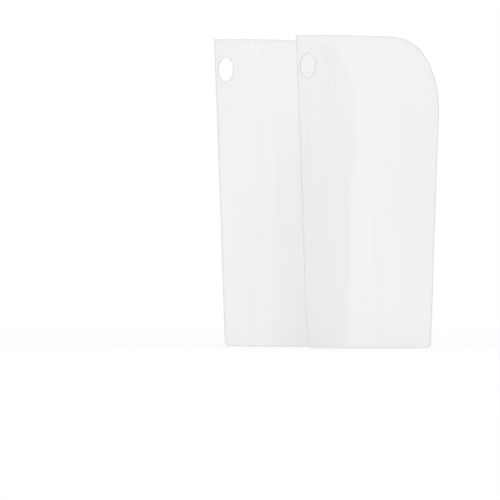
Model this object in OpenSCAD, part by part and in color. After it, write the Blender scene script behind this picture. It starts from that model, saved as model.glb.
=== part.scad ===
// A pair of shaper sheets of springy, milky-clear plastic.
// Each sheet is one die-cut blank, bowed by hand into an open half-round. Its middle is an even
// bend, its two sides run on as flat flanks, and nothing closes it at the back, so that it
// rolls up smaller to go in and springs open again.
// Millimetres, +Z up. The origin is on the floor, under the middle of the pair.
// The round of each bow faces -Y.

/* [Blank] */
// Height of the square top corner above the floor
sheet_h = 300; // [220:5:400]
// Width of the blank across its top, measured along the wall
blank_w = 180; // [160:1:220]
// Thickness of the sheet
sheet_t = 0.8; // [0.5:0.1:1.5]
// Angle by which each side edge draws in towards the bottom, in degrees
side_taper = 3.2; // [0:0.1:4]
// Angle by which the top edge falls towards its rounded corner, in degrees
top_fall = 2; // [0:0.5:3]
// Radius of the large rounded top corner
corner_r = 68; // [45:1:80]
// Radius of the two bottom corners
foot_r = 6; // [2:1:12]

/* [Bow] */
// Radius of the bend across the middle, measured to the middle of the wall
bow_r = 60; // [52:1:72]
// Angle of each flat flank to the front, in degrees
flank_angle = 51; // [42:1:60]

/* [Finger hole] */
// Diameter of the hole that the sheet is pulled out and hung up by
hole_d = 23; // [16:0.5:26]
// Depth of the hole's centre below the square top corner
hole_drop = 30; // [20:1:60]
// Distance of the hole's centre from the side edge, along the wall
hole_inset = 16; // [15:0.5:22]

/* [Pair] */
// How far the rear sheet stands to the left of the front one
pair_left = 79; // [0:1:200]
// How far the rear sheet stands behind the front one
pair_behind = 125; // [90:1:300]

/* [Hidden] */
$fn = 180;

// Length that a cutter reaches past what it cuts
over = 5;
// The flanks' faces start this far inside the bend's, so that each pair meets at a clean edge
seam = 0.001;
// A rounded corner's arc reaches this far past both straight edges, so that it crosses them
// at a clean, slight angle
join = 0.05;
// Length of the untrimmed flanks, which is enough to take in the whole round of the bend
flank_reach = 3 * bow_r;

// Where the bend ends and a flank begins: half its width, and its depth behind the nose
bend_x = bow_r * sin(flank_angle);
bend_y = bow_r * (1 - cos(flank_angle));
// Length of a flank at the height of the square corner
flank_w = blank_w / 2 - bow_r * flank_angle * PI / 180;
// Half the distance between the two side edges there
half_w = bend_x + flank_w * cos(flank_angle);

// The corner's centre: along its flank from the end of the bend, and above the floor.
// The side edge leans, so its place is taken at the height that a first guess gives.
guess_z = top_z(wall_x(side_u(sheet_h - corner_r) - corner_r)) - corner_r;
corner_u = side_u(guess_z) - corner_r + join;
corner_z = top_z(wall_x(corner_u)) - corner_r + join;

// The hole's centre: along its flank, and above the floor
hole_z = sheet_h - hole_drop;
hole_u = side_u(hole_z) - hole_inset / cos(side_taper);

// One sheet's reach from its nose: to each side and to the back
reach_left = half_w + sheet_t / 2 * sin(flank_angle);
reach_right = wall_x(corner_u + corner_r) + sheet_t / 2 * sin(flank_angle);
reach_back = bend_y + flank_w * sin(flank_angle) + sheet_t / 2 * cos(flank_angle);

// The front sheet's nose, placed so that the pair stands evenly about the origin
front_x = (reach_left + pair_left - reach_right) / 2;
front_y = (sheet_t / 2 - pair_behind - reach_back) / 2;

// Place of a flank's side edge along the flank, at height z
function side_u(z) = flank_w - (sheet_h - z) * tan(side_taper);

// Distance from the middle plane to the wall, for a place u along the right flank.
// Behind the end of the bend, u is negative and the wall is the round of the bow.
function wall_x(u) = u < 0
    ? bow_r * sin(flank_angle + asin(u / bow_r))
    : bend_x + u * cos(flank_angle);

// Height of the top edge at x
function top_z(x) = sheet_h - (x + half_w) * tan(top_fall);

// The bowed wall, seen from above: an even bend and two straight flanks, which run on past
// the side edges
module bow_section() {
    difference() {
        bow_hollow(bow_r + sheet_t / 2);
        bow_hollow(bow_r - sheet_t / 2);
    }
}

// All that lies inside a bend of radius r and between its two flanks
module bow_hollow(r) {
    foot_x = (r - seam) * sin(flank_angle);
    foot_y = bow_r - (r - seam) * cos(flank_angle);
    back_x = foot_x + flank_reach * cos(flank_angle);
    back_y = foot_y + flank_reach * sin(flank_angle);
    translate([0, bow_r])
        circle(r = r);
    polygon([[-foot_x, foot_y], [foot_x, foot_y], [back_x, back_y], [-back_x, back_y]]);
}

// Stands its children on the right flank, or on the left one as a mirror image:
// X runs out along the flank from the end of the bend, and -Y is its outward normal
module on_flank(left = false) {
    mirror([left ? 1 : 0, 0, 0])
        translate([bend_x, bend_y, 0])
            rotate([0, 0, flank_angle])
                children();
}

// Turns an outline drawn along a flank and up into a cutter, square to the wall,
// that is deep enough to reach round the bend
module through_wall() {
    translate([0, bow_r, 0])
        rotate([90, 0, 0])
            linear_extrude(bow_r + over)
                children();
}

// What is cut off beyond a leaning side edge, and round its bottom corner
module side_cut() {
    foot_u = side_u(foot_r) - foot_r + join;
    polygon([
        [side_u(-over), -over],
        [flank_reach + over, -over],
        [flank_reach + over, sheet_h + over],
        [side_u(sheet_h + over), sheet_h + over]
    ]);
    difference() {
        translate([foot_u, -over])
            square(foot_r + over);
        translate([foot_u, foot_r - join])
            circle(r = foot_r);
    }
}

// What is cut off round the large top corner
module corner_cut() {
    difference() {
        translate([corner_u, corner_z])
            square(corner_r + over);
        translate([corner_u, corner_z])
            circle(r = corner_r);
    }
}

// What is cut off above the top edge, as a slab across the whole bow
module top_cut() {
    translate([0, reach_back + over, 0])
        rotate([90, 0, 0])
            linear_extrude(reach_back + 2 * over)
                polygon([
                    [-reach_left - over, top_z(-reach_left - over)],
                    [half_w + over, top_z(half_w + over)],
                    [half_w + over, sheet_h + 2 * over],
                    [-reach_left - over, sheet_h + 2 * over]
                ]);
}

// One sheet, with its nose on the Z axis and its level bottom edge on the floor
module shaper_sheet() {
    difference() {
        linear_extrude(sheet_h)
            bow_section();
        top_cut();
        for (left = [false, true])
            on_flank(left)
                through_wall()
                    side_cut();
        on_flank()
            through_wall()
                corner_cut();
        on_flank(left = true)
            translate([hole_u, 0, hole_z])
                rotate([90, 0, 0])
                    cylinder(h = 2 * over, d = hole_d, center = true);
    }
}

module front_sheet() {
    color("whitesmoke")
        translate([front_x, front_y, 0])
            shaper_sheet();
}

module rear_sheet() {
    color("gainsboro")
        translate([front_x - pair_left, front_y + pair_behind, 0])
            shaper_sheet();
}

front_sheet();
rear_sheet();
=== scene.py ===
"""A pair of shaper sheets of springy, milky-clear plastic, standing on a white studio floor.

Each sheet is one die-cut blank that is bowed into an open half-round. The blank is drawn flat,
filled with a fine mesh, bent round the bow and given its thickness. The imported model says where
each sheet stands. Everything is in metres, +Z is up and the round of each bow faces -Y.
"""

import logging
import math
from dataclasses import dataclass, field
from enum import Enum

import bpy
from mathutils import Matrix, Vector
from mathutils.geometry import delaunay_2d_cdt
from mathutils.kdtree import KDTree


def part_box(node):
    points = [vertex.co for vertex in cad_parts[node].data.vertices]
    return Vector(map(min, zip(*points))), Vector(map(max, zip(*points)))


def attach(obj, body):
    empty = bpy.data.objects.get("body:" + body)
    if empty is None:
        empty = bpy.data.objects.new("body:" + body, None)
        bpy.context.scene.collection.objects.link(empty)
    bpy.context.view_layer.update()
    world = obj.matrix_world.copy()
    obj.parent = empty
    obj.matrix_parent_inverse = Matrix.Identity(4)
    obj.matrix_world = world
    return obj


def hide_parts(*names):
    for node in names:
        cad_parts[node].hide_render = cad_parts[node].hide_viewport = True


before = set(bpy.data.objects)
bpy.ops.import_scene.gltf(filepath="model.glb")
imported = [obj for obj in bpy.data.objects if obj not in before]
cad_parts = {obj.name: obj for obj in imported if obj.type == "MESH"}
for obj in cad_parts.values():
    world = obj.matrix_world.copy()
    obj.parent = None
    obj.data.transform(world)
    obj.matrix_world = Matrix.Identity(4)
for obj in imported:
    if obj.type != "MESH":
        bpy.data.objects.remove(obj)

log = logging.getLogger("shaper")

BODY = "root"
RIM = "cut_edge"
MM = 0.001

# Points of the flat blank that lie closer together than this are one point
MERGE = 1e-7
# Distances that agree to this many decimals share one place on the bow
DECIMALS = 7
# Blender's number for a fill that keeps only the triangles inside the given loop
FILL_INSIDE = 1
# Most values of a soft noise lie between these two
NOISE_LOW = 0.3
NOISE_HIGH = 0.7

Colour = tuple[float, float, float]


class Side(Enum):
    """The two sides of a sheet, as seen by a viewer who faces the round of its bow."""

    LEFT = -1
    RIGHT = 1


@dataclass(frozen=True)
class Bow:
    """The bend that a flat blank takes: an even curve across its middle and two flat flanks.

    A distance along the wall is measured from the sheet's middle, its nose, and is positive
    towards +X. The curve fades out within ease to each side of a flank's beginning, and step is
    the longest stretch of wall that is taken as straight when its place is summed up.
    """

    radius: float = 60.0 * MM
    flank_angle: float = math.radians(51.0)
    ease: float = 7.0 * MM
    step: float = 0.5 * MM

    @property
    def half_bend(self) -> float:
        """Length of wall from the nose to where the flank begins."""
        return self.radius * self.flank_angle

    def turn(self, along: float) -> float:
        """Gives the angle that the wall has turned through.

        Args:
            along: Distance from the nose along the wall.

        Returns:
            The angle to the X axis in radians, with the sign of the distance.
        """
        reach = abs(along)
        past = reach - (self.half_bend - self.ease)
        if past <= 0.0:
            angle = reach / self.radius
        elif past >= 2.0 * self.ease:
            angle = self.flank_angle
        else:
            angle = (reach - past * past / (4.0 * self.ease)) / self.radius
        return math.copysign(angle, along)

    def place(self, along: float) -> Vector:
        """Gives the place of a point of the wall, seen from above, with the nose at the origin.

        Args:
            along: Distance from the nose along the wall.

        Returns:
            X and Y of the middle of the wall.
        """
        steps = max(1, math.ceil(abs(along) / self.step))
        length = along / steps
        spot = Vector((0.0, 0.0))
        for index in range(steps):
            angle = self.turn((index + 0.5) * length)
            spot += Vector((math.cos(angle), math.sin(angle))) * length
        return spot

    def outward(self, along: float) -> Vector:
        """Gives the wall's normal on its round side, as X, Y and Z."""
        angle = self.turn(along)
        return Vector((math.sin(angle), -math.cos(angle), 0.0))

    def along_from_flank(self, u: float) -> float:
        """Turns a place seen square to the flank into a distance along the wall.

        Args:
            u: Distance from the flank's beginning, measured in the flank's own direction.

        Returns:
            The distance from the nose along the wall.
        """
        if u < 0.0:
            return self.half_bend + self.radius * math.asin(u / self.radius)
        return self.half_bend + u


@dataclass(frozen=True)
class Blank:
    """The die-cut outline of a sheet, laid out flat, with distances along and up the wall.

    The large corner's centre lies join farther out and up than the place where its arc would
    only just touch the two straight edges.
    """

    bow: Bow
    height: float = 300.0 * MM
    width: float = 180.0 * MM
    thickness: float = 0.8 * MM
    join: float = 0.05 * MM
    side_taper: float = math.radians(3.2)
    top_fall: float = math.radians(2.0)
    corner_radius: float = 68.0 * MM
    foot_radius: float = 6.0 * MM
    hole_diameter: float = 23.0 * MM
    hole_drop: float = 30.0 * MM
    hole_inset: float = 16.0 * MM
    line_step: float = 4.0 * MM
    corner_steps: int = 60
    foot_steps: int = 12
    hole_steps: int = 96

    @property
    def flank_width(self) -> float:
        """Width of a flank at the height of the square top corner."""
        return self.width / 2.0 - self.bow.half_bend

    @property
    def half_chord(self) -> float:
        """Half the distance between the two side edges at that height."""
        bend = self.bow.radius * math.sin(self.bow.flank_angle)
        return bend + self.flank_width * math.cos(self.bow.flank_angle)

    def side_u(self, up: float) -> float:
        """Place of a side edge along its flank, at a height."""
        return self.flank_width - (self.height - up) * math.tan(self.side_taper)

    def top(self, along: float) -> float:
        """Height of the top edge at a distance along the wall."""
        across = self.bow.place(along).x + self.half_chord
        return self.height - across * math.tan(self.top_fall)

    def corner_centre(self) -> Vector:
        """Finds the centre of the large top corner.

        Returns:
            Its place along the right flank, and its height.
        """
        radius = self.corner_radius
        first_u = self.side_u(self.height - radius) - radius
        first_up = self.top(self.bow.along_from_flank(first_u)) - radius
        u = self.side_u(first_up) - radius + self.join
        up = self.top(self.bow.along_from_flank(u)) - radius + self.join
        return Vector((u, up))

    def arc(self, side: Side, centre: Vector, radius: float, first: float, last: float,
            steps: int) -> list[Vector]:
        """Draws an arc that is round when it is seen square to a flank.

        Args:
            side: The flank that it lies on.
            centre: Its centre's place along the flank, and its height.
            radius: Its radius.
            first: Angle at which it starts, from the outward direction along the flank.
            last: Angle at which it ends.
            steps: How many stretches it is made of.

        Returns:
            The points from first to last, as distances along and up the wall.
        """
        points = []
        for index in range(steps + 1):
            angle = first + (last - first) * index / steps
            u = centre.x + radius * math.cos(angle)
            along = side.value * self.bow.along_from_flank(u)
            points.append(Vector((along, centre.y + radius * math.sin(angle))))
        return points

    def line(self, start: Vector, end: Vector) -> list[Vector]:
        """Divides a straight edge, and leaves out its two ends."""
        steps = max(2, round((end - start).length / self.line_step))
        return [start.lerp(end, index / steps) for index in range(1, steps)]

    def outline(self) -> list[Vector]:
        """Draws the outer cut, counter-clockwise from the left foot corner.

        Returns:
            The points of a closed loop.
        """
        quarter = math.pi / 2.0
        foot_u = self.side_u(self.foot_radius) - self.foot_radius
        foot = Vector((foot_u, self.foot_radius))
        side_angle = -self.side_taper
        left_foot = self.arc(Side.LEFT, foot, self.foot_radius, side_angle, -quarter,
                             self.foot_steps)
        right_foot = self.arc(Side.RIGHT, foot, self.foot_radius, -quarter, side_angle,
                              self.foot_steps)
        corner = self.arc(Side.RIGHT, self.corner_centre(), self.corner_radius, side_angle,
                          quarter - self.top_fall, self.corner_steps)
        square = Vector((-self.width / 2.0, self.height))
        loop = left_foot + self.line(left_foot[-1], right_foot[0]) + right_foot
        loop += self.line(right_foot[-1], corner[0]) + corner
        for point in self.line(corner[-1], square):
            loop.append(Vector((point.x, self.top(point.x))))
        loop.append(square)
        loop += self.line(square, left_foot[0])
        return loop

    def hole(self) -> list[Vector]:
        """Draws the finger hole, clockwise, as a closed loop of points."""
        up = self.height - self.hole_drop
        u = self.side_u(up) - self.hole_inset / math.cos(self.side_taper)
        points = self.arc(Side.LEFT, Vector((u, up)), self.hole_diameter / 2.0, 0.0,
                          2.0 * math.pi, self.hole_steps)
        return points[:-1]


def inset(loop: list[Vector], distance: float) -> list[Vector]:
    """Moves a closed loop to its left-hand side, which is the plastic's side of a cut.

    Args:
        loop: Points of the cut.
        distance: How far to move it.

    Returns:
        As many points, each square to the cut.
    """
    moved = []
    for index, point in enumerate(loop):
        ahead = (loop[(index + 1) % len(loop)] - point).normalized()
        behind = (point - loop[index - 1]).normalized()
        normal = Vector((-(ahead.y + behind.y), ahead.x + behind.x)).normalized()
        square = normal.dot(Vector((-ahead.y, ahead.x)))
        moved.append(point + normal * (distance / square))
    return moved


@dataclass(frozen=True)
class Warp:
    """The slight unevenness of a thin sheet that stands by its own spring.

    It only ever leans inwards, and dies out towards the top edge.
    """

    edge_wave: float = 0.30 * MM
    edge_length: float = 0.23
    swell: float = 0.16 * MM
    swell_length: float = 0.085
    swell_slant: float = 1.7
    swell_phase: float = 2.3
    steady: float = 40.0 * MM

    def lift(self, along: float, up: float, blank: Blank, phase: float) -> float:
        """Gives how far the wall stands off its even form.

        Args:
            along: Distance from the nose along the wall.
            up: Height.
            blank: The outline of the sheet.
            phase: Angle that sets one sheet's unevenness apart from another's.

        Returns:
            The distance along the wall's outward normal, which is never above zero.
        """
        share = along / (blank.width / 2.0)
        hold = min(1.0, max(0.0, blank.height - up) / self.steady)
        edge = 0.5 * math.sin(2.0 * math.pi * up / self.edge_length + phase + share) - 0.5
        turn = (up + along / self.swell_slant) / self.swell_length
        angle = 2.0 * math.pi * turn + self.swell_phase * phase
        swell = 0.5 * math.sin(angle) - 0.5
        return hold * (self.edge_wave * share * share * edge + self.swell * swell)


@dataclass
class Skin:
    """The flat fill of a blank: points with their distance from the cut, and triangles."""

    points: list[Vector] = field(default_factory=list)
    gaps: list[float] = field(default_factory=list)
    faces: list[tuple[int, ...]] = field(default_factory=list)
    rims: list[list[int]] = field(default_factory=list)


@dataclass
class ShaperSheet:
    """One bowed sheet, which stands where its CAD node stands.

    Rings of points run beside each cut, at the distances that rings lists. The first is the cut
    itself, and its arris is broken as far as the second.
    """

    node: str
    blank: Blank
    warp: Warp
    phase: float
    rings: tuple[float, ...] = (0.0, 0.12 * MM, 0.5 * MM, 1.1 * MM, 2.0 * MM)
    cell: float = 4.0 * MM
    clear: float = 2.6 * MM
    sharp: float = math.radians(35.0)

    def nose(self) -> Vector:
        """Finds the middle of the wall at the sheet's nose from the CAD node's box.

        Returns:
            Its place on the floor.
        """
        low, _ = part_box(self.node)
        half = self.blank.thickness / 2.0
        reach = self.blank.half_chord + half * math.sin(self.blank.bow.flank_angle)
        return Vector((low[0] + reach, low[1] + half, low[2]))

    def fill(self) -> Skin:
        """Fills the flat blank with triangles that follow its cuts.

        Returns:
            The filled blank.
        """
        points: list[Vector] = []
        gaps: list[float] = []
        edges: list[tuple[int, int]] = []
        cuts: list[range] = []
        for loop in (self.blank.outline(), self.blank.hole()):
            for gap in self.rings:
                start = len(points)
                points += inset(loop, gap) if gap else loop
                gaps += [gap] * len(loop)
                ring = range(start, len(points))
                edges += [(i, i + 1) for i in ring[:-1]] + [(ring[-1], ring[0])]
                if not gap:
                    cuts.append(ring)
        near = KDTree(len(points))
        for index, point in enumerate(points):
            near.insert((point.x, point.y, 0.0), index)
        near.balance()
        for point in self.grid():
            _, _, distance = near.find((point.x, point.y, 0.0))
            if distance > self.clear:
                points.append(point)
                gaps.append(self.rings[-1])
        return self.triangulate(points, gaps, edges, cuts)

    def grid(self) -> list[Vector]:
        """Lays out points over the blank, with every second row shifted by half a cell.

        Returns:
            The points, which also reach past the cuts.
        """
        half = self.blank.width / 2.0
        columns = math.ceil(half / self.cell)
        rows = math.ceil(self.blank.height / self.cell)
        points = []
        for row in range(rows):
            shift = 0.5 * self.cell * (row % 2)
            for column in range(-columns, columns + 1):
                points.append(Vector((column * self.cell + shift, row * self.cell)))
        return points

    def triangulate(self, points: list[Vector], gaps: list[float],
                    edges: list[tuple[int, int]], cuts: list[range]) -> Skin:
        """Joins the points into triangles, and leaves the finger hole open.

        Args:
            points: All points of the flat blank.
            gaps: Each point's distance from the nearest cut.
            edges: The stretches of each ring, which the triangles keep.
            cuts: The points of the outer cut and of the hole.

        Returns:
            The filled blank.
        """
        outer, hole = cuts
        spots, _, faces, sources, _, _ = delaunay_2d_cdt(
            points, edges, [list(outer)], FILL_INSIDE, MERGE)
        hole_centre = sum((points[i] for i in hole), Vector((0.0, 0.0))) / len(hole)
        hole_radius = min((points[i] - hole_centre).length for i in hole)
        skin = Skin()
        kept: dict[int, int] = {}
        found: dict[int, int] = {}
        for face in faces:
            centre = sum((spots[i] for i in face), Vector((0.0, 0.0))) / len(face)
            if (centre - hole_centre).length < hole_radius:
                continue
            for spot in face:
                if spot not in kept:
                    kept[spot] = len(skin.points)
                    skin.points.append(spots[spot])
                    skin.gaps.append(min(gaps[i] for i in sources[spot]))
                    for source in sources[spot]:
                        found[source] = kept[spot]
            skin.faces.append(tuple(kept[spot] for spot in face))
        skin.rims = [[found[i] for i in ring] for ring in (outer, hole)]
        return skin

    def bend(self, skin: Skin) -> tuple[list[Vector], list[Vector]]:
        """Bends the filled blank round its bow and gives it its thickness.

        Args:
            skin: The filled blank.

        Returns:
            The points on the round side of the wall, and those on its hollow side.
        """
        nose = self.nose()
        places: dict[float, Vector] = {}
        outside: list[Vector] = []
        inside: list[Vector] = []
        for point, gap in zip(skin.points, skin.gaps):
            key = round(point.x, DECIMALS)
            if key not in places:
                places[key] = self.blank.bow.place(point.x)
            spot = places[key]
            normal = self.blank.bow.outward(point.x)
            lift = self.warp.lift(point.x, point.y, self.blank, self.phase)
            middle = nose + Vector((spot.x, spot.y, point.y)) + normal * lift
            bevel = max(0.0, self.rings[1] - gap)
            half = self.blank.thickness / 2.0 - bevel
            outside.append(middle + normal * half)
            inside.append(middle - normal * half)
        return outside, inside

    def build(self, milky: bpy.types.Material, cut: bpy.types.Material) -> bpy.types.Object:
        """Makes the sheet from two bent faces and the cut edges between them.

        Args:
            milky: Finish of its two faces.
            cut: Finish of its cut edges.

        Returns:
            The sheet, which rides on the body and replaces its CAD node.
        """
        skin = self.fill()
        outside, inside = self.bend(skin)
        count = len(skin.points)
        faces = [tuple(face) for face in skin.faces]
        faces += [tuple(i + count for i in reversed(face)) for face in skin.faces]
        for rim in skin.rims:
            for here, there in zip(rim, rim[1:] + rim[:1]):
                faces.append((there, here, here + count, there + count))
        mesh = bpy.data.meshes.new(f"{self.node}_skin")
        mesh.from_pydata(outside + inside, [], faces)
        mesh.materials.append(milky)
        mesh.materials.append(cut)
        self.mark(mesh, skin)
        piece = bpy.data.objects.new(f"{self.node}_moulding", mesh)
        bpy.context.scene.collection.objects.link(piece)
        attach(piece, BODY)
        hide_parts(self.node)
        log.info("%s: %d points, %d faces", piece.name, len(mesh.vertices), len(mesh.polygons))
        return piece

    def mark(self, mesh: bpy.types.Mesh, skin: Skin) -> None:
        """Writes the mesh's smoothing, its flat layout and how near each point is to a cut.

        Args:
            mesh: The bowed mesh, outside first and then inside.
            skin: The filled blank that it was made from.
        """
        mesh.validate()
        mesh.update()
        nearness = mesh.attributes.new(RIM, "FLOAT", "POINT")
        reach = self.rings[-1]
        values = [1.0 - min(gap, reach) / reach for gap in skin.gaps] * 2
        nearness.data.foreach_set("value", values)
        layout = mesh.uv_layers.new(name="blank")
        count = len(skin.points)
        for loop in mesh.loops:
            point = skin.points[loop.vertex_index % count]
            layout.uv[loop.index].vector = (
                point.x / self.blank.height + 0.5, point.y / self.blank.height)
        on_cut = [gap < self.rings[1] / 2.0 for gap in skin.gaps]
        for polygon in mesh.polygons:
            polygon.use_smooth = True
            is_cut = any(on_cut[index % count] for index in polygon.vertices)
            polygon.material_index = 1 if is_cut else 0
        mesh.set_sharp_from_angle(angle=self.sharp)


@dataclass(frozen=True)
class Noise:
    """A soft noise: its waves to a metre, its finer layers, and its scale's share on each axis."""

    scale: float
    detail: float
    stretch: tuple[float, float, float] = (1.0, 1.0, 1.0)


@dataclass
class Graph:
    """A short hand for building shader nodes."""

    tree: bpy.types.NodeTree

    def first(self, kind: str) -> bpy.types.Node:
        """Finds the first node of a kind."""
        return next(node for node in self.tree.nodes if node.type == kind)

    def add(self, kind: str, **settings: object) -> bpy.types.Node:
        """Adds a node and sets its properties.

        Args:
            kind: Blender's name of the node's type.
            **settings: The properties and their values.

        Returns:
            The node.
        """
        node = self.tree.nodes.new(kind)
        for name, value in settings.items():
            setattr(node, name, value)
        return node

    def link(self, source: bpy.types.NodeSocket, target: bpy.types.NodeSocket) -> None:
        """Joins an output to an input."""
        self.tree.links.new(source, target)

    def put(self, socket: bpy.types.NodeSocket, value: "bpy.types.NodeSocket | float") -> None:
        """Feeds an input.

        Args:
            socket: The input.
            value: Another node's output, or a number.
        """
        if isinstance(value, bpy.types.NodeSocket):
            self.link(value, socket)
        else:
            socket.default_value = value

    def place(self) -> bpy.types.NodeSocket:
        """Gives the point's place in the shared frame."""
        return self.add("ShaderNodeTexCoord").outputs["Object"]

    def math(self, operation: str, first: "bpy.types.NodeSocket | float",
             second: "bpy.types.NodeSocket | float") -> bpy.types.NodeSocket:
        """Works out one sum of two values.

        Args:
            operation: Blender's name of the sum.
            first: Its first value.
            second: Its second value.

        Returns:
            The result.
        """
        node = self.add("ShaderNodeMath", operation=operation)
        self.put(node.inputs[0], first)
        self.put(node.inputs[1], second)
        return node.outputs[0]

    def noise(self, noise: Noise) -> bpy.types.NodeSocket:
        """Makes a soft noise.

        Args:
            noise: How it is drawn.

        Returns:
            Its value, from 0 to 1.
        """
        mapping = self.add("ShaderNodeMapping")
        mapping.inputs["Scale"].default_value = noise.stretch
        self.link(self.place(), mapping.inputs["Vector"])
        node = self.add("ShaderNodeTexNoise")
        node.inputs["Scale"].default_value = noise.scale
        node.inputs["Detail"].default_value = noise.detail
        self.link(mapping.outputs["Vector"], node.inputs["Vector"])
        return node.outputs["Fac"]

    def remap(self, value: bpy.types.NodeSocket, from_low: float, from_high: float,
              to_low: float, to_high: float) -> bpy.types.NodeSocket:
        """Stretches a range of values to another, and holds it at its ends.

        Args:
            value: The value to stretch.
            from_low: Start of its range.
            from_high: End of its range.
            to_low: What the start becomes.
            to_high: What the end becomes.

        Returns:
            The stretched value.
        """
        node = self.add("ShaderNodeMapRange", clamp=True)
        self.link(value, node.inputs["Value"])
        for name, number in (("From Min", from_low), ("From Max", from_high),
                             ("To Min", to_low), ("To Max", to_high)):
            node.inputs[name].default_value = number
        return node.outputs["Result"]

    def around(self, noise: bpy.types.NodeSocket, middle: float,
               change: float) -> bpy.types.NodeSocket:
        """Lets a value vary with a noise, by a change to each side of its middle."""
        return self.remap(noise, NOISE_LOW, NOISE_HIGH, middle - change, middle + change)

    def blend(self, share: bpy.types.NodeSocket, low: float, high: float) -> bpy.types.NodeSocket:
        """Blends two numbers.

        Args:
            share: 0 for the first number, 1 for the second.
            low: The first number.
            high: The second number.

        Returns:
            The blend.
        """
        node = self.add("ShaderNodeMix", data_type="FLOAT")
        self.link(share, node.inputs["Factor"])
        node.inputs["A"].default_value = low
        node.inputs["B"].default_value = high
        return node.outputs["Result"]

    def scale_colour(self, colour: Colour, share: bpy.types.NodeSocket) -> bpy.types.NodeSocket:
        """Brightens or darkens a plain colour.

        Args:
            colour: The colour.
            share: What it is multiplied by.

        Returns:
            The new colour.
        """
        node = self.add("ShaderNodeVectorMath", operation="SCALE")
        node.inputs[0].default_value = colour
        self.link(share, node.inputs["Scale"])
        return node.outputs["Vector"]

    def emboss(self, shader: bpy.types.Node, relief: bpy.types.NodeSocket, strength: float,
               depth: float) -> None:
        """Presses a fine relief into a surface.

        Args:
            shader: The surface's shader.
            relief: The relief's height, from 0 to 1.
            strength: How much of it shows.
            depth: Its real depth.
        """
        bump = self.add("ShaderNodeBump")
        bump.inputs["Strength"].default_value = strength
        bump.inputs["Distance"].default_value = depth
        self.link(relief, bump.inputs["Height"])
        self.link(bump.outputs["Normal"], shader.inputs["Normal"])

    def seen(self) -> bpy.types.NodeSocket:
        """Tells what is looked at from what only gives light.

        Returns:
            A socket that is 1 for a ray from the camera, a mirror image or a clear surface.
        """
        path = self.add("ShaderNodeLightPath")
        seen = self.math("MAXIMUM", path.outputs["Is Camera Ray"],
                         path.outputs["Is Transmission Ray"])
        return self.math("MAXIMUM", seen, path.outputs["Is Glossy Ray"])


def fresh_material(name: str) -> tuple[bpy.types.Material, Graph, bpy.types.Node]:
    """Makes a material with nothing but its shader.

    Args:
        name: The material's name.

    Returns:
        The material, its graph and its shader.
    """
    material = bpy.data.materials.new(name)
    material.use_nodes = True
    graph = Graph(material.node_tree)
    return material, graph, graph.first("BSDF_PRINCIPLED")


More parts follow.
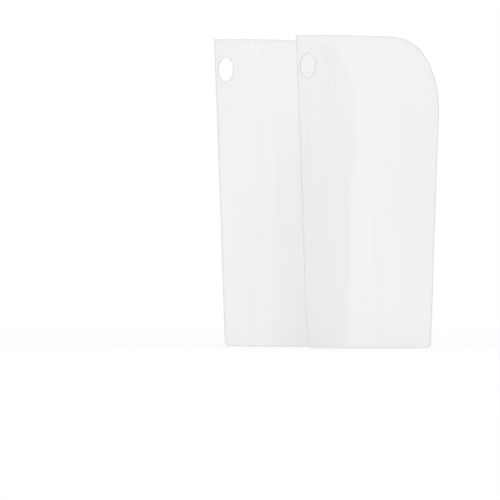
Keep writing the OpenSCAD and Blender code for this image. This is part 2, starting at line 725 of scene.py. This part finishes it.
@dataclass(frozen=True)
class MilkyPlastic:
    """Milky-clear plastic sheet: an even soft gloss, faint drawing bands and fine hairlines.

    A ray meets the sheet's two faces, so cover is what one face hides of what lies behind it.
    The plastic scatters much of the light onwards, so its shadow has only a share of that depth.
    Hairlines run where their noise is at its middle value, and only within patches.
    """

    name: str = "milky_plastic"
    colour: Colour = (0.953, 0.954, 0.954)
    cover: float = 0.53
    rim_cover: float = 0.08
    shade: float = 0.45
    roughness: float = 0.30
    refraction: float = 1.49
    cloud: Noise = Noise(14.0, 3.0, (1.0, 1.0, 0.6))
    cloud_change: float = 0.010
    band: Noise = Noise(150.0, 1.0, (1.0, 1.0, 0.04))
    band_change: float = 0.011
    band_gloss: float = 0.012
    band_relief: float = 0.5
    grain: Noise = Noise(1400.0, 2.0)
    grain_relief: float = 0.35
    hair: Noise = Noise(55.0, 1.0, (1.0, 1.0, 0.35))
    hair_patch: Noise = Noise(27.5, 2.0, (1.0, 1.0, 0.7))
    hair_middle: float = 0.5
    hair_width: float = 0.004
    patch_from: float = 0.52
    patch_to: float = 0.62
    hair_gloss: float = 0.03
    hair_relief: float = 0.03
    relief_strength: float = 0.15
    relief_depth: float = 0.02 * MM

    def material(self) -> bpy.types.Material:
        """Builds the finish.

        Returns:
            The material.
        """
        material, graph, shader = fresh_material(self.name)
        cloud = graph.noise(self.cloud)
        band = graph.noise(self.band)
        hair = self.hairlines(graph)

        tone = graph.math("MULTIPLY", graph.around(cloud, 1.0, self.cloud_change),
                          graph.around(band, 1.0, self.band_change))
        graph.link(graph.scale_colour(self.colour, tone), shader.inputs["Base Color"])
        graph.link(self.milk(graph, cloud), shader.inputs["Alpha"])

        gloss = graph.math("ADD", graph.around(band, self.roughness, self.band_gloss),
                           graph.math("MULTIPLY", hair, self.hair_gloss))
        graph.link(gloss, shader.inputs["Roughness"])
        shader.inputs["IOR"].default_value = self.refraction

        grain = graph.noise(self.grain)
        relief = graph.math("ADD", graph.math("MULTIPLY", grain, self.grain_relief),
                            graph.math("MULTIPLY", band, self.band_relief))
        scratch = graph.math("MULTIPLY", hair, self.hair_relief)
        graph.emboss(shader, graph.math("SUBTRACT", relief, scratch), self.relief_strength,
                     self.relief_depth)
        return material

    def milk(self, graph: Graph, cloud: bpy.types.NodeSocket) -> bpy.types.NodeSocket:
        """Works out how much a face hides: a little more near a cut, and less of a shadow.

        Args:
            graph: The node graph to add to.
            cloud: The unevenness of the milk.

        Returns:
            The share of what lies behind that the face hides.
        """
        cut = graph.add("ShaderNodeAttribute", attribute_name=RIM).outputs["Fac"]
        milk = graph.math("ADD", graph.around(cloud, self.cover, -self.cloud_change),
                          graph.math("MULTIPLY", cut, self.rim_cover))
        shadow = graph.add("ShaderNodeLightPath").outputs["Is Shadow Ray"]
        return graph.math("MULTIPLY", milk, graph.blend(shadow, 1.0, self.shade))

    def hairlines(self, graph: Graph) -> bpy.types.NodeSocket:
        """Draws the hairline scratches of handling, mostly up and down the sheet.

        Args:
            graph: The node graph to add to.

        Returns:
            A socket that is 1 on a scratch and 0 beside it.
        """
        offset = graph.math("SUBTRACT", graph.noise(self.hair), self.hair_middle)
        thin = graph.remap(graph.math("ABSOLUTE", offset, 0.0), 0.0, self.hair_width, 1.0, 0.0)
        patch = graph.remap(graph.noise(self.hair_patch), self.patch_from, self.patch_to,
                            0.0, 1.0)
        return graph.math("MULTIPLY", thin, patch)


@dataclass(frozen=True)
class CutFace:
    """The die-cut edge of the sheet: its grey colour is painted shade for the light that runs
    inside the plastic and is lost at the cut.
    """

    name: str = "shaded_cut_face"
    # Painted shade: this grey stands for the light that is lost at the cut, not for a darker
    # plastic.
    colour: Colour = (0.62, 0.63, 0.64)
    cover: float = 0.92
    roughness: float = 0.55
    drag: Noise = Noise(2600.0, 2.0, (0.4, 0.4, 1.0))
    drag_change: float = 0.1
    relief_strength: float = 0.3
    relief_depth: float = 0.03 * MM

    def material(self) -> bpy.types.Material:
        """Builds the finish, with the fine drag marks that the die leaves across the wall.

        Returns:
            The material.
        """
        material, graph, shader = fresh_material(self.name)
        drag = graph.noise(self.drag)
        tone = graph.around(drag, 1.0, self.drag_change)
        graph.link(graph.scale_colour(self.colour, tone), shader.inputs["Base Color"])
        shader.inputs["Alpha"].default_value = self.cover
        shader.inputs["Roughness"].default_value = self.roughness
        graph.emboss(shader, drag, self.relief_strength, self.relief_depth)
        return material


@dataclass(frozen=True)
class Lamp:
    """A square soft lamp that faces the object: its place, its side's length and its watts."""

    name: str
    place: tuple[float, float, float]
    size: float
    power: float

    def hang(self, aim: Vector) -> None:
        """Hangs the lamp.

        Args:
            aim: The point that it faces.
        """
        light = bpy.data.lights.new(self.name, "AREA")
        light.size = self.size
        light.energy = self.power
        lamp = bpy.data.objects.new(self.name, light)
        lamp.location = self.place
        lamp.rotation_euler = (aim - Vector(self.place)).to_track_quat("-Z", "Y").to_euler()
        bpy.context.scene.collection.objects.link(lamp)


@dataclass(frozen=True)
class Studio:
    """The white floor and surroundings, and three soft lamps.

    Near the object the floor is lit paper, lifted a little so that it looks white beside its
    shadows. Farther out it fades to plain white, so that no horizon shows.
    """

    floor_size: float = 80.0
    floor_colour: Colour = (0.7, 0.7, 0.7)
    floor_lift: float = 0.27
    floor_roughness: float = 0.9
    fade_from: float = 0.5
    fade_to: float = 2.5
    world_strength: float = 0.87
    aim: tuple[float, float, float] = (0.0, 0.0, 0.15)
    lamps: tuple[Lamp, ...] = (
        Lamp("key_light", (2.5, -1.9, 1.9), 1.6, 17.0),
        Lamp("fill_light", (-2.7, -1.7, 1.6), 2.0, 17.5),
        Lamp("back_light", (0.2, 2.6, 2.2), 2.2, 9.5),
    )

    def build(self) -> None:
        """Makes the floor, the surroundings and the lamps."""
        self.floor()
        self.world()
        for lamp in self.lamps:
            lamp.hang(Vector(self.aim))

    def floor(self) -> None:
        """Lays the floor."""
        half = self.floor_size / 2.0
        mesh = bpy.data.meshes.new("floor")
        corners = [(-half, -half, 0.0), (half, -half, 0.0), (half, half, 0.0), (-half, half, 0.0)]
        mesh.from_pydata(corners, [], [(0, 1, 2, 3)])
        floor = bpy.data.objects.new("studio_floor", mesh)
        bpy.context.scene.collection.objects.link(floor)
        mesh.materials.append(self.paper())

    def paper(self) -> bpy.types.Material:
        """Builds the floor's finish.

        Returns:
            The material.
        """
        material, graph, shader = fresh_material("floor_paper")
        seen = graph.seen()
        shader.inputs["Roughness"].default_value = self.floor_roughness
        shader.inputs["Specular IOR Level"].default_value = 0.0
        shader.inputs["Base Color"].default_value = (*self.floor_colour, 1.0)
        shader.inputs["Emission Color"].default_value = (1.0, 1.0, 1.0, 1.0)
        graph.link(graph.math("MULTIPLY", seen, self.floor_lift),
                   shader.inputs["Emission Strength"])
        length = graph.add("ShaderNodeVectorMath", operation="LENGTH")
        graph.link(graph.place(), length.inputs[0])
        fade = graph.remap(length.outputs["Value"], self.fade_from, self.fade_to, 0.0, 1.0)
        mix = graph.add("ShaderNodeMixShader")
        graph.link(graph.math("MULTIPLY", seen, fade), mix.inputs[0])
        graph.link(shader.outputs["BSDF"], mix.inputs[1])
        graph.link(graph.add("ShaderNodeEmission").outputs["Emission"], mix.inputs[2])
        graph.link(mix.outputs["Shader"], graph.first("OUTPUT_MATERIAL").inputs["Surface"])
        return material

    def world(self) -> None:
        """Surrounds the scene with soft light, and shows white behind it."""
        world = bpy.data.worlds.new("studio")
        world.use_nodes = True
        bpy.context.scene.world = world
        graph = Graph(world.node_tree)
        back = graph.first("BACKGROUND")
        back.inputs["Color"].default_value = (1.0, 1.0, 1.0, 1.0)
        graph.link(graph.blend(graph.seen(), self.world_strength, 1.0), back.inputs["Strength"])


@dataclass(frozen=True)
class Camera:
    """A long lens at table height, level with the middle of the picture.

    Pixels are those of a picture 500 pixels wide and high.
    """

    picture: float = 500.0
    distance: float = 6.3
    pixels_to_a_metre: float = 1050.0
    nose_column: float = 369.6
    nose_top_row: float = 35.9
    sensor: float = 36.0
    far: float = 200.0

    def build(self, sheet: ShaperSheet) -> None:
        """Sets the camera up so that a sheet's nose stands in its column and row.

        Args:
            sheet: The front sheet.
        """
        middle = self.picture / 2.0
        nose = sheet.nose()
        x = nose.x - (self.nose_column - middle) / self.pixels_to_a_metre
        z = sheet.blank.top(0.0) - (middle - self.nose_top_row) / self.pixels_to_a_metre
        data = bpy.data.cameras.new("camera")
        data.sensor_width = self.sensor
        data.lens = self.sensor * self.distance * self.pixels_to_a_metre / self.picture
        data.clip_end = self.far
        camera = bpy.data.objects.new("camera", data)
        camera.location = (x, nose.y - self.distance, z)
        camera.rotation_euler = (math.pi / 2.0, 0.0, 0.0)
        bpy.context.scene.collection.objects.link(camera)
        bpy.context.scene.camera = camera


def main() -> None:
    """Builds the pair, the studio and the camera."""
    logging.basicConfig(level=logging.INFO, format="%(name)s %(message)s")
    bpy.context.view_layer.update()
    blank = Blank(Bow())
    milky = MilkyPlastic().material()
    cut = CutFace().material()
    sheets = [
        ShaperSheet("front_sheet", blank, Warp(), phase=0.4),
        ShaperSheet("rear_sheet", blank, Warp(), phase=2.1),
    ]
    for sheet in sheets:
        sheet.build(milky, cut)
    Studio().build()
    Camera().build(sheets[0])
    bpy.context.scene.view_settings.view_transform = "Standard"


if __name__ == "__main__":
    main()
